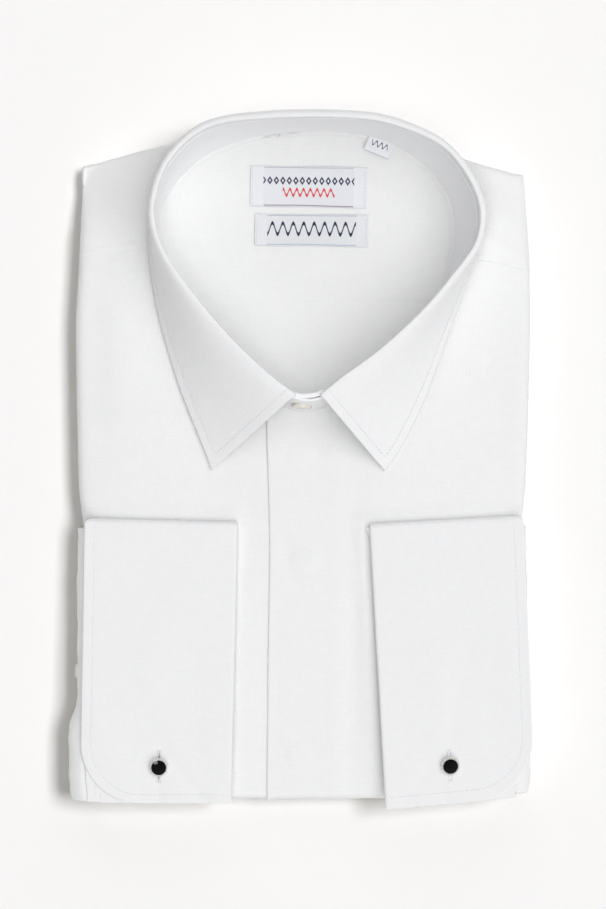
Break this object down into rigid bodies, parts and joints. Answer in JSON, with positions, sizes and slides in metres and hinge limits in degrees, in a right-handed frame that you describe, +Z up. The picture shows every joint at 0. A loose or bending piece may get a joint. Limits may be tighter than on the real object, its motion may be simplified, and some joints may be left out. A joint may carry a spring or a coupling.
{
  "type": "folded long sleeve dress shirt",
  "caption": "Folded formal shirt lying on its back, with a turn-down collar standing up, a covered placket and double cuffs with cufflinks laid on its front.",
  "frame": {"origin": "centre of the bounding box's underside, where the folded shirt rests", "axes": "+Y along the shirt towards the collar, +X towards the wearer's left side, +Z up out of its front"},
  "size_m": [0.2139, 0.3229, 0.0602],
  "materials": {
    "shirt_cloth": "matte, fine pinpoint weave",
    "crisp_cloth": "matte, fine pinpoint weave over stiff interlining",
    "woven_label": "fine satin-woven",
    "button": "polished, pearl-like",
    "link_metal": "polished silver colour",
    "link_face": "glossy black enamel"
  },
  "bodies": {
    "root": {"folded_layers": "shirt_cloth", "front_right": "shirt_cloth", "front_left": "shirt_cloth", "placket": "shirt_cloth", "yoke_outer": "shirt_cloth", "yoke_inner": "shirt_cloth", "back_panel": "shirt_cloth", "sleeve_right": "shirt_cloth", "sleeve_left": "shirt_cloth", "collar_band": "crisp_cloth", "collar_leaf": "crisp_cloth", "cuff_right": "crisp_cloth", "cuff_left": "crisp_cloth", "label_main": "woven_label", "label_second": "woven_label", "label_size": "woven_label", "collar_button": "button", "sleeve_button": "button", "cufflink_right_bezel": "link_metal", "cufflink_left_bezel": "link_metal", "cufflink_right_toggle": "link_metal", "cufflink_left_toggle": "link_metal", "cufflink_right_face": "link_face", "cufflink_left_face": "link_face"}
  },
  "joints": []
}
